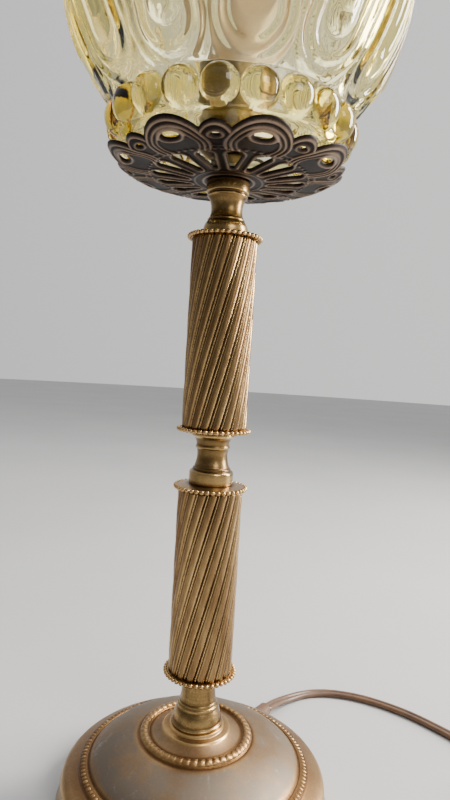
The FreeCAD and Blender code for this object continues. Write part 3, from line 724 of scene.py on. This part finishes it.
def make_cap(node, outward):
    """Cap on a column's end, with its row of beads. outward is 1 where its face looks up."""
    low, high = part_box(node)
    outer = (high[0] - low[0]) / 2 / MM
    bead_row = outer - CAP_BEAD_R - CAP_GAP
    bead_z = (high[2] if outward > 0 else low[2]) / MM - outward * CAP_RISE
    brim = bead_row - 0.8 * CAP_BEAD_R
    inside = SPIGOT_R - SPIGOT_WALL
    outline = [
        (CAP_BORE_R, 1.0), (CAP_HUB_R, 1.0), (14.2, 0.8), (brim, 0.5), (bead_row, 0.26),
        (bead_row, -0.26), (brim, -0.47), (SPIGOT_R, -0.53), (SPIGOT_R, -SPIGOT_DEPTH / CAP_RISE),
        (inside, -SPIGOT_DEPTH / CAP_RISE), (inside, -0.18), (CAP_BORE_R, -0.18)]
    profile = rounded([(r, bead_z + outward * CAP_RISE * height) for r, height in outline], 0.3)
    build = Build()
    # painted shade next to the neck: the cap is darker at its hub and lighter towards its brim
    painted_neck_shade = [0.25 + 0.4 * float(smooth_step((r - CAP_HUB_R) / 2.0)) for r, z in profile]
    build.add(lathe(profile, TURNED_POINTS), relief=np.repeat(painted_neck_shade, TURNED_POINTS))
    for k in range(BEADS):
        angle = TURN * k / BEADS
        centre = (bead_row * math.cos(angle), bead_row * math.sin(angle), bead_z)
        # painted highlights on the beads
        build.add(bead(centre, (-math.sin(angle), math.cos(angle), 0), (0, 0, 1),
                       (CAP_BEAD_R, CAP_BEAD_R, CAP_BEAD_R)), relief=0.95)
    stand_for(build.piece(f"{node}_beaded", "brass_relief"), "lamp", "satin_brass", node)


def ridge_relief(profile):
    """Painted light along a turned outline: half on plain stretches, highlights on ridges, shade in
    grooves.
    """
    radii = np.array([r for r, z in profile])
    heights = np.array([z for r, z in profile])
    values = []
    for r, z in profile:
        near = (np.abs(heights - z) < NECK_REACH) & (radii > NECK_BORE_R + 0.4)
        mean = radii[near].mean() if near.any() else r
        values.append(float(np.clip(0.52 + 0.75 * (r - mean), 0, 1)))
    return values


def make_neck(node, steps):
    """steps(low, high) gives the neck's outer outline from its foot up."""
    low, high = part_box(node)
    outer = steps(low[2] / MM, high[2] / MM)
    outline = [(NECK_BORE_R, outer[0][1])] + outer + [(NECK_BORE_R, outer[-1][1])]
    profile = rounded(outline, 0.35)
    build = Build()
    build.add(lathe(profile, TURNED_POINTS), relief=np.repeat(ridge_relief(profile), TURNED_POINTS))
    stand_for(build.piece(f"{node}_turned", "neck_brass"), "lamp", "satin_brass", node)


def lower_neck_outline(low, high):
    return ([(13.8, low), (13.8, low + 1.4), (12.9, low + 2.2)]
            + arc((12.9, low + 2.2), (12.3, low + 6.0), (10.9, low + 9.4), 8)
            + [(10.9, low + 10.6), (10.1, low + 11.2), (10.1, low + 12.2), (9.6, low + 12.8)]
            + arc((9.6, low + 12.8), (9.0, low + 18.0), (8.7, high - 3.4), 6)
            + [(9.4, high - 2.8), (9.4, high)])


def middle_neck_outline(low, high):
    return ([(11.6, low), (11.6, low + 5.4)]
            + arc((11.6, low + 5.4), (11.2, low + 6.8), (10.0, low + 7.4), 5)
            + [(10.0, low + 8.4), (9.3, low + 8.9)]
            + arc((9.3, low + 8.9), (8.0, low + 14.0), (8.4, low + 18.6), 10)
            + [(9.0, low + 19.1), (9.0, low + 20.0), (8.6, low + 20.5)]
            + arc((8.6, low + 20.5), (9.3, low + 23.4), (11.2, high - 1.6), 8)
            + [(11.2, high)])


def upper_neck_outline(low, high):
    return ([(11.6, low), (11.6, low + 1.2)]
            + arc((11.6, low + 1.2), (11.2, low + 4.2), (9.7, low + 6.6), 8)
            + [(9.7, low + 7.6), (8.9, low + 8.2)]
            + arc((8.9, low + 8.2), (8.1, low + 12.6), (8.9, low + 17.0), 10)
            + arc((8.9, low + 17.0), (9.6, low + 18.4), (10.4, high - 7.4), 3)
            + [(10.4, high - 6.8), (10.0, high - 6.4), (10.0, high - 5.9), (11.1, high - 5.4),
               (11.1, high)])


# --- base ---------------------------------------------------------------------------------

# places on the shell's outside, (radius, height), from the rim in to the seat of the neck
RIM = (70.0, 13.5)
RIM_TOP = (65.5, 18.8)
RING_SEAT = ((60.5, 21.8), (56.7, 23.0))
DOME_FOOT = (55.9, 22.9)
DOME_TOP = (30.6, 35.4)
ROPE_SEAT = ((29.9, 35.9), (25.3, 36.6))
SLOPE_FOOT = (24.4, 36.6)
SLOPE_TOP = (18.3, 39.2)
STEP_R = 17.8
SEAT_R = 14.3
SHELL_T = 1.6
BASE_POINTS = 256

RING_BEADS = 132
RING_R = 58.6
RING_Z = 21.6
RING_BEAD = (1.34, 1.8, 1.2)
ROPE_RIBS = 48
ROPE_R = 27.6
ROPE_Z = 36.5
ROPE_HALF = (2.15, 1.65)
ROPE_GRID = (18, 480)


def base_outline(foot, z0, z1):
    outside = [(foot, z0), (foot, z0 + 0.8)]
    outside += arc(outside[-1], (RIM[0] + 0.6, 7.0), RIM, 8)
    outside += arc(RIM, (68.8, 16.6), RIM_TOP, 10)
    outside += [(61.2, 20.6), (60.7, 21.2), RING_SEAT[0], RING_SEAT[1], (56.5, 22.6), DOME_FOOT]
    outside += arc(DOME_FOOT, (45.8, 30.4), DOME_TOP, 26)
    outside += [(30.2, 35.3), ROPE_SEAT[0]]
    outside += arc(ROPE_SEAT[0], (27.7, 37.4), ROPE_SEAT[1], 8)
    outside += [(24.9, 36.3), SLOPE_FOOT]
    outside += arc(SLOPE_FOOT, (21.2, 37.7), SLOPE_TOP, 6)
    outside += [(STEP_R, 39.9), (STEP_R - 0.4, 40.1), (14.8, 40.5), (14.5, 41.0), (SEAT_R, z1)]
    inside = [(CAP_BORE_R, z1), (CAP_BORE_R, z1 - SHELL_T), (13.0, z1 - SHELL_T), (13.2, 38.7),
              (16.8, 38.2), (25.3, 34.7)]
    inside += arc(inside[-1], (45.0, 29.0), (57.6, 19.8), 12)
    inside += [(64.7, 17.3)]
    inside += arc(inside[-1], (67.4, 15.6), (RIM[0] - SHELL_T, RIM[1]), 4)
    inside += arc(inside[-1], (RIM[0] - 1.0, 7.0), (RIM[0] + 0.4, z0), 4)
    return rounded(outside + inside, 0.25, 2)


def base_painted_light(r):
    """Painted highlights on the edges of the step, seat and rim, painted shade in the recesses."""
    edge = max(bump_at(r, STEP_R, 0.9), bump_at(r, SEAT_R, 0.7), 0.7 * bump_at(r, RIM[0], 2.5))
    recess_shade = max(bump_at(r, place, 1.3) for place in (SLOPE_FOOT[0], DOME_TOP[0], DOME_FOOT[0],
                                                      RING_SEAT[0][0]))
    return float(np.clip(0.5 + 0.5 * edge - 0.45 * recess_shade, 0, 1))


def base_dust(r):
    """Most on the dome, less on the slope within the rope and on the rim."""
    on_dome = smooth_step((r - DOME_TOP[0]) / 4) * smooth_step((DOME_FOOT[0] - r) / 3)
    on_slope = 0.50 * smooth_step(r - SLOPE_TOP[0]) * smooth_step((SLOPE_FOOT[0] - r) / 2)
    on_rim = 0.22 * smooth_step((r - RING_SEAT[0][0]) / 2)
    return float(on_dome + on_slope + on_rim)


def make_base():
    low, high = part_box("base_shell")
    profile = base_outline((high[0] - low[0]) / 2 / MM, low[2] / MM, high[2] / MM)
    build = Build()
    # the shell's painted highlights and shade, then its dust
    build.add(lathe(profile, BASE_POINTS),
              relief=np.repeat([base_painted_light(r) for r, z in profile], BASE_POINTS),
              dusty=np.repeat([base_dust(r) for r, z in profile], BASE_POINTS))
    slope = Vector(RING_SEAT[0]) - Vector(RING_SEAT[1])
    for k in range(RING_BEADS):
        angle = TURN * k / RING_BEADS
        way = Vector((math.cos(angle), math.sin(angle), 0))
        around = UP.cross(way)
        flat = (way * slope.x + UP * slope.y).normalized()
        wear = 0.25 * math.sin(5.3 * k) * math.sin(1.7 * k)
        radii = (RING_BEAD[0], RING_BEAD[1], RING_BEAD[2] + 0.2 * wear)
        build.add(bead(way * RING_R + UP * RING_Z, around, flat, radii, 6, 10),
                  relief=0.52 + 0.9 * wear, dusty=0.1)
    build.add(rope_ring(), relief=0.56, dusty=0.05)
    stand_for(build.piece("base_dome", "base_brass"), "lamp", "satin_brass", "base_shell")


def rope_ring():
    """Slanted ribs around the step, like a laid rope."""
    around, count = ROPE_GRID
    angles = np.arange(count) * TURN / count
    points = []
    for j in range(around):
        turn = TURN * j / around
        lay = ROPE_RIBS * angles + 0.9 * math.cos(turn)
        swell = 0.62 + 0.38 * np.abs(np.cos(lay / 2)) ** 0.7
        r = ROPE_R + ROPE_HALF[0] * math.cos(turn) * (0.8 + 0.2 * swell)
        z = ROPE_Z + ROPE_HALF[1] * math.sin(turn) * swell - 0.13 * (r - ROPE_R)
        points.append(np.stack([r * np.cos(angles), r * np.sin(angles), z], 1))
    return np.concatenate(points) * MM, grid_faces(around, count, close_rows=True)


# --- gallery ------------------------------------------------------------------------------

PETALS = 8
PETAL_TURN = math.radians(15.0)
LOBE_TURN = math.radians(-7.5)
SLOT_TURN = math.radians(3.75)
GALLERY_CELL = 0.5
GALLERY_REACH = 63.5
DISH_T = 1.5
DISH_R = 48.0
PETAL_AT = 46.5
PETAL_R = 15.3
LOBE_AT = 50.5
LOBE_R = 8.2
PETAL_EYE = (53.2, 2.7)
LOBE_EYE = (52.5, 1.5)
SLOT_NEAR = (21.5, 1.2)
SLOT_FAR = (35.0, 3.9)
PIPE_HOLE_R = 5.3
PEARL_R = 40.6
PEARLS = 72
# raised lines: distance inside the edge or radius, half width, height
PETAL_LINES = ((1.1, 1.1, 1.0), (3.5, 1.0, 0.9), (5.7, 0.9, 0.8))
HUB_RINGS = ((13.0, 1.2, 0.9), (17.4, 0.9, 0.7))
RELIEF_ABOVE = 0.3
RELIEF_BELOW = 0.75


def dish_height(r):
    """Height of the dish's middle above the hub's underside."""
    lift = 1.4 + 3.3 * np.clip((r - 18.0) / 32.0, 0, 1)
    rim = np.clip((r - 50.0) / 12.0, 0, 1)
    return lift + 6.0 * rim ** 1.5


def turned_to(r, angle, count, first):
    """Places in the frame of the nearest of count spokes, x along the spoke."""
    off = sector(angle, count, first)
    return r * np.cos(off), r * np.sin(off)


def capsule(x, y, near, far):
    """Signed distance, inside negative, to a round-ended bar. near and far are (x, radius)."""
    t = np.clip((x - near[0]) / (far[0] - near[0]), 0, 1)
    return np.hypot(x - (near[0] + t * (far[0] - near[0])), y) - (near[1] + t * (far[1] - near[1]))


def gallery_pattern(x, y):
    """Signed distance to the metal, and the height of its relief, which also sets its painted
    highlights and shade.
    """
    r = np.hypot(x, y)
    angle = np.arctan2(y, x)
    px, py = turned_to(r, angle, PETALS, PETAL_TURN)
    lx, ly = turned_to(r, angle, PETALS, LOBE_TURN)
    sx, sy = turned_to(r, angle, 2 * PETALS, SLOT_TURN)
    petal_edge = np.hypot(px - PETAL_AT, py * 0.97) - PETAL_R
    lobe_edge = np.hypot(lx - LOBE_AT, ly) - LOBE_R
    metal = np.minimum(np.minimum(petal_edge, lobe_edge), r - DISH_R)
    petal_eye = np.hypot((px - PETAL_EYE[0]) * 1.05, py * 0.64) - PETAL_EYE[1]
    lobe_eye = np.hypot((lx - LOBE_EYE[0]) * 1.3, ly * 0.8) - LOBE_EYE[1]
    slots = capsule(sx, sy, SLOT_NEAR, SLOT_FAR)
    holes = np.minimum(np.minimum(petal_eye, lobe_eye), np.minimum(slots, r - PIPE_HOLE_R))
    solid = np.maximum(metal, -holes)

    on_petal = smooth_step(-petal_edge / 0.8) * smooth_step((r - DISH_R + 10.0) / 3.0)
    relief = 0.9 * on_petal * bump_at(petal_eye, 1.3, 1.1)
    for inset, half_width, height in PETAL_LINES:
        relief += height * on_petal * bump_at(-petal_edge, inset, half_width)
    off_petal = 1 - smooth_step(-petal_edge / 0.8)
    relief += off_petal * smooth_step((r - DISH_R + 6.0) / 3.0) * (
        bump_at(lobe_edge, -1.0, 1.0) + 0.8 * bump_at(lobe_eye, 1.2, 1.0))
    spokes = smooth_step((r - SLOT_NEAR[0] + 4.5) / 2.0) * smooth_step((PEARL_R - r) / 2.0)
    relief += spokes * bump_at(slots, 1.0, 0.9)
    relief += 0.9 * bump_at(r, PEARL_R, 0.9) * smooth_step(np.cos(PEARLS * angle) * 2 + 0.6)
    for ring_r, half_width, height in HUB_RINGS:
        relief += height * bump_at(r, ring_r, half_width)
    return solid, np.clip(relief, 0, 1.1)


def cut_from_grid(solid, axis):
    """Flat cells of a square grid where solid is negative, cut along its zero line."""
    flat = []
    known = {}

    def corner(i, j):
        key = (i, j)
        if key not in known:
            known[key] = len(flat)
            flat.append((axis[i], axis[j]))
        return known[key]

    def crossing(a, b):
        key = (a, b) if a < b else (b, a)
        if key not in known:
            t = solid[a] / (solid[a] - solid[b])
            known[key] = len(flat)
            flat.append((axis[a[0]] + t * (axis[b[0]] - axis[a[0]]),
                         axis[a[1]] + t * (axis[b[1]] - axis[a[1]])))
        return known[key]

    cells = []
    least = np.minimum(np.minimum(solid[:-1, :-1], solid[1:, :-1]),
                       np.minimum(solid[:-1, 1:], solid[1:, 1:]))
    for i, j in np.argwhere(least < 0):
        ring = [(i, j), (i + 1, j), (i + 1, j + 1), (i, j + 1)]
        face = []
        for here, after in zip(ring, ring[1:] + ring[:1]):
            if solid[here] < 0:
                face.append(corner(*here))
            if (solid[here] < 0) != (solid[after] < 0):
                face.append(crossing(here, after))
        if len(face) >= 3:
            cells.append(tuple(face))
    return np.array(flat), cells


def walls(cells, count):
    """Faces that join the two skins of a plate along every free edge of its cells."""
    used = {(a, b) for face in cells for a, b in zip(face, face[1:] + face[:1])}
    return [(b, a, count + a, count + b) for a, b in sorted(used) if (b, a) not in used]


def make_gallery():
    """Pierced dish: the metal's outline is cut from a fine grid, then bent to the dish."""
    half = int(GALLERY_REACH / GALLERY_CELL)
    axis = (np.arange(-half, half + 1) + 0.13) * GALLERY_CELL
    grid_x, grid_y = np.meshgrid(axis, axis, indexing="ij")
    flat, cells = cut_from_grid(gallery_pattern(grid_x, grid_y)[0], axis)
    x, y = flat[:, 0], flat[:, 1]
    solid, relief = gallery_pattern(x, y)
    hub_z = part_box("gallery")[0][2] / MM
    middle = hub_z + dish_height(np.hypot(x, y))
    edge_round = 0.35 * (1 - smooth_step(-solid / 0.7))
    top = middle + DISH_T / 2 + RELIEF_ABOVE * relief - edge_round
    under = np.maximum(middle - DISH_T / 2 - RELIEF_BELOW * relief + edge_round, hub_z)
    count = len(flat)
    points = np.concatenate([np.stack([x, y, top], 1), np.stack([x, y, under], 1)]) * MM
    faces = cells + [tuple(count + v for v in reversed(face)) for face in cells]
    faces += walls(cells, count)
    # the relief's height also paints highlights on the raised lines and shade in the low places
    gallery = mesh_object("gallery_pierced", points, faces, "bronze",
                          relief=np.clip(np.concatenate([relief, relief]), 0, 1))
    stand_for(gallery, "lamp", "bronze_gallery", "gallery")


# --- glass shade --------------------------------------------------------------------------

GLASS_CENTRE_Z = 420.0
GLASS_R = 84.0
GLASS_INNER_R = 81.6
GLASS_POINTS = 720
GLOBE_Z = (366.5, 474.0)
THROAT = ((66.4, 480.5), (63.4, 481.0))
LIP_R = 70.9
SCALLOP = 1.2

GLASS_BEADS = 21
GLASS_BEAD_TURN = math.radians(-96.2)
GLASS_BEAD_Z = 350.4
GLASS_BEAD_HALF = (8.7, 8.6)
GLASS_BEAD_OUT = 6.2
COLLAR_Z = (342.0, 359.5)
COLLAR_R = (57.4, 58.3)

DROPS = 12
DROP_TURN = math.radians(-84.8)
DROP_W = 13.8
# foot, half width and length of each drop in a nest of three, the widest first
NEST = ((361.0, DROP_W, 104.0), (370.5, 0.56 * DROP_W, 84.0), (378.5, 0.28 * DROP_W, 64.0))
# raised lines along the widest drop: place across it (1 is its edge), half width, height
DROP_LINES = ((0.86, 0.20, 1.5), (1.25, 0.20, 2.2), (1.6, 0.18, 1.0))
RELIEF_MOST = 3.9


def sphere_r(radius, z):
    return math.sqrt(radius ** 2 - (z - GLASS_CENTRE_Z) ** 2)


def drop(x, z, foot, half_width, length):
    """0 at a drop's middle line and 1 at its edge. It is round below and drawn out above."""
    rise = z - foot - half_width
    below = np.hypot(x, 1.1 * rise) / half_width
    swell = (1 + 0.28 * smooth_step(rise / 25.0)) * np.clip(1 - rise / length, 0.02, 1) ** 0.5
    above = np.abs(x) / (half_width * swell)
    return np.where(rise < 0, below, above)


def domed(d):
    return np.clip(1 - d * d, 0, 1) ** 0.75


def drop_relief(angle, z):
    """Height in mm of the drops, one on another, and of the lines that flow between them."""
    index = np.round((angle - DROP_TURN) / (TURN / DROPS))
    off = angle - DROP_TURN - index * TURN / DROPS
    x = off * sphere_r(GLASS_R, z)
    shift = 1.5 * np.sin(2.1 * index)
    outer, inner, heart = (drop(x, z, foot + shift, half_width, length)
                           for foot, half_width, length in NEST)
    height = 0.7 * smooth_step((1 - outer) / 0.2) + 2.0 * domed(inner) + 0.8 * domed(heart)
    for place, half_width, line_height in DROP_LINES:
        height += line_height * bump_at(outer, place, half_width)
    foot_fade = smooth_step((z - COLLAR_Z[1] + 1.5) / 6.0)
    return np.minimum(height * foot_fade * smooth_step((GLOBE_Z[1] + 2.0 - z) / 40.0), RELIEF_MOST)


def bead_relief(angle, z):
    """Height in mm of the row of round beads on the collar."""
    off = sector(angle, GLASS_BEADS, GLASS_BEAD_TURN) * (sum(COLLAR_R) / 2 + 1.6)
    inside = (off / GLASS_BEAD_HALF[0]) ** 2 + ((z - GLASS_BEAD_Z) / GLASS_BEAD_HALF[1]) ** 2
    return GLASS_BEAD_OUT * np.sqrt(np.clip(1 - inside, 0, 1))


def scallop(angle, z):
    """How far the lip is drawn in between the drops, growing towards the top."""
    share = (z - GLOBE_Z[1] - 2.0) / 14.0
    return -SCALLOP * share * (0.5 - 0.5 * np.cos(DROPS * (angle - DROP_TURN)))


def shade_outlines(foot, top):
    """The outside from the foot up, and the inside from the lip down, before any relief."""
    low, high = GLOBE_Z
    outer = [(45.7, foot + 0.6), (46.2, foot + 0.1), (49.6, foot + 0.1), (51.2, foot + 0.6),
             (52.4, foot + 2.2), (53.0, foot + 4.4), (54.4, foot + 6.4), (56.2, foot + 8.0)]
    steps = np.linspace(0, 1, 26)
    outer += [(COLLAR_R[0] + t * (COLLAR_R[1] - COLLAR_R[0]),
               COLLAR_Z[0] + t * (COLLAR_Z[1] - COLLAR_Z[0])) for t in steps]
    outer += arc(outer[-1], (60.6, 361.8), (sphere_r(GLASS_R, low), low), 8)
    outer += [(sphere_r(GLASS_R, z), z) for z in np.arange(low + 0.8, high, 0.8)]
    outer += arc(outer[-1], THROAT[0], (LIP_R - 0.3, top - 1.6), 9)
    outer += [(LIP_R, top - 0.9), (LIP_R - 0.5, top - 0.2), (LIP_R - 1.3, top),
              (LIP_R - 2.2, top - 0.5)]
    inner = arc(outer[-1], THROAT[1], (sphere_r(GLASS_INNER_R, high - 1.5), high - 1.5), 6)
    inner += [(sphere_r(GLASS_INNER_R, z), z) for z in np.arange(high - 4.0, low + 1.5, -4.0)]
    inner += [(58.6, 362.0), (54.6, 355.0), (52.2, 348.0), (49.6, 342.0), (46.6, 338.0)]
    return outer, inner


def make_shade():
    low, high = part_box("glass_shade")
    angles = np.arange(GLASS_POINTS) * TURN / GLASS_POINTS
    outer, inner = shade_outlines(low[2] / MM, high[2] / MM)
    rings = []
    for r, z in outer:
        if z > GLOBE_Z[1] + 2.0:
            height = scallop(angles, z)
        elif z > COLLAR_Z[1] + 0.5:
            height = drop_relief(angles, z)
        elif z > COLLAR_Z[0] - 0.5:
            height = bead_relief(angles, z)
        else:
            height = np.zeros(GLASS_POINTS)
        rings.append((r + height, z))
    rings += [(np.full(GLASS_POINTS, r), z) for r, z in inner]
    points = np.concatenate([np.stack([r * np.cos(angles), r * np.sin(angles),
                                       np.full(GLASS_POINTS, z)], 1) for r, z in rings]) * MM
    faces = grid_faces(len(rings), GLASS_POINTS, close_rows=True)
    shade = mesh_object("pressed_glass_shade", points, faces, "amber_glass")
    stand_for(shade, "shade", "amber_glass", "glass_shade")


# --- bulb ---------------------------------------------------------------------------------

BULB_CENTRE_Z = 434.0
BULB_R = 29.9
BULB_T = 0.8
BULB_NECK_R = 12.3
BULB_FOOT_Z = 376.2
BULB_POINTS = 96


def bulb_point(radius, degrees):
    angle = math.radians(degrees)
    return (radius * math.cos(angle), BULB_CENTRE_Z + radius * math.sin(angle))


def make_bulb():
    """Envelope as one closed shell of glass, a pole at the top of each side."""
    count = BULB_POINTS
    outside = [(BULB_NECK_R, BULB_FOOT_Z), (BULB_NECK_R, BULB_FOOT_Z + 8.2), (12.7, 385.4),
               (13.4, 386.3)]
    outside += arc(outside[-1], (16.6, 401.0), bulb_point(BULB_R, -31), 10)
    outside += [bulb_point(BULB_R, a) for a in range(-26, 89, 5)]
    inside = [bulb_point(BULB_R - BULB_T, a) for a in range(84, -32, -5)]
    inside += arc(inside[-1], (15.8, 401.2), (12.6, 386.5), 8)
    inside += [(BULB_NECK_R - BULB_T, 384.8), (BULB_NECK_R - BULB_T, BULB_FOOT_Z)]
    first, faces = lathe(outside + inside, count)
    points = list(first)
    split = len(outside)
    seam = set(range((split - 1) * count, split * count))
    kept = [f for f in faces if not (f[0] in seam and f[2] >= split * count)]
    for ring, radius, flip in ((split - 1, BULB_R, False), (split, BULB_R - BULB_T, True)):
        pole = len(points)
        points.append(np.array([0, 0, BULB_CENTRE_Z + radius]) * MM)
        for c in range(count):
            pair = (ring * count + c, ring * count + (c + 1) % count)
            kept.append((pair[1], pair[0], pole) if flip else (pair[0], pair[1], pole))
    bulb = mesh_object("bulb_glass", points, kept, "frosted_glass")
    stand_for(bulb, "bulb", "bulb_glass", "bulb_envelope")


# --- finishes of the CAD pieces that stay -------------------------------------------------

FINISHES = {
    "cord": "cord_bushing lamp_lead",
    "brown_plastic": "plug_body switch_lower_half switch_upper_half",
    "blade_brass": "plug_blades",
    "tie": "coil_tie",
    "felt": "base_felt",
    "board": "base_board",
    "iron": "base_weight",
    "steel": "base_washer base_nut threaded_pipe gallery_washer gallery_nut socket_set_screw "
             "switch_screws switch_pin",
    "socket_brass": "socket_cap socket_shell screw_shell centre_contact terminal_screws "
                    "switch_contacts",
    "liner": "socket_liner",
    "porcelain": "socket_body",
    "cap_metal": "bulb_cap bulb_contact filament",
    "frosted_glass": "bulb_stem",
    "black_glass": "bulb_insulator",
}


def finish_nodes():
    for material, names in FINISHES.items():
        for name in names.split():
            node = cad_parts[name]
            for place in node.material_slots:
                place.link = "OBJECT"
                place.material = MATERIALS[material]


def make_floor():
    """A wide pale floor, its edge far outside every view."""
    turns = [TURN * k / FLOOR_POINTS for k in range(FLOOR_POINTS)]
    points = [(0, 0, -FLOOR_DROP)]
    points += [(FLOOR_R * math.cos(a), FLOOR_R * math.sin(a), -FLOOR_DROP) for a in turns]
    faces = [(0, 1 + k, 1 + (k + 1) % FLOOR_POINTS) for k in range(FLOOR_POINTS)]
    floor = mesh_object("floor", points, faces, "floor", smooth=False)


make_camera()
make_cord()
make_light()
make_floor()
make_base()
for which in ("lower", "upper"):
    make_column(which)
    make_cap(f"{which}_foot_cap", -1)
    make_cap(f"{which}_head_cap", 1)
make_neck("lower_neck", lower_neck_outline)
make_neck("middle_neck", middle_neck_outline)
make_neck("upper_neck", upper_neck_outline)
make_gallery()
make_shade()
make_bulb()
finish_nodes()
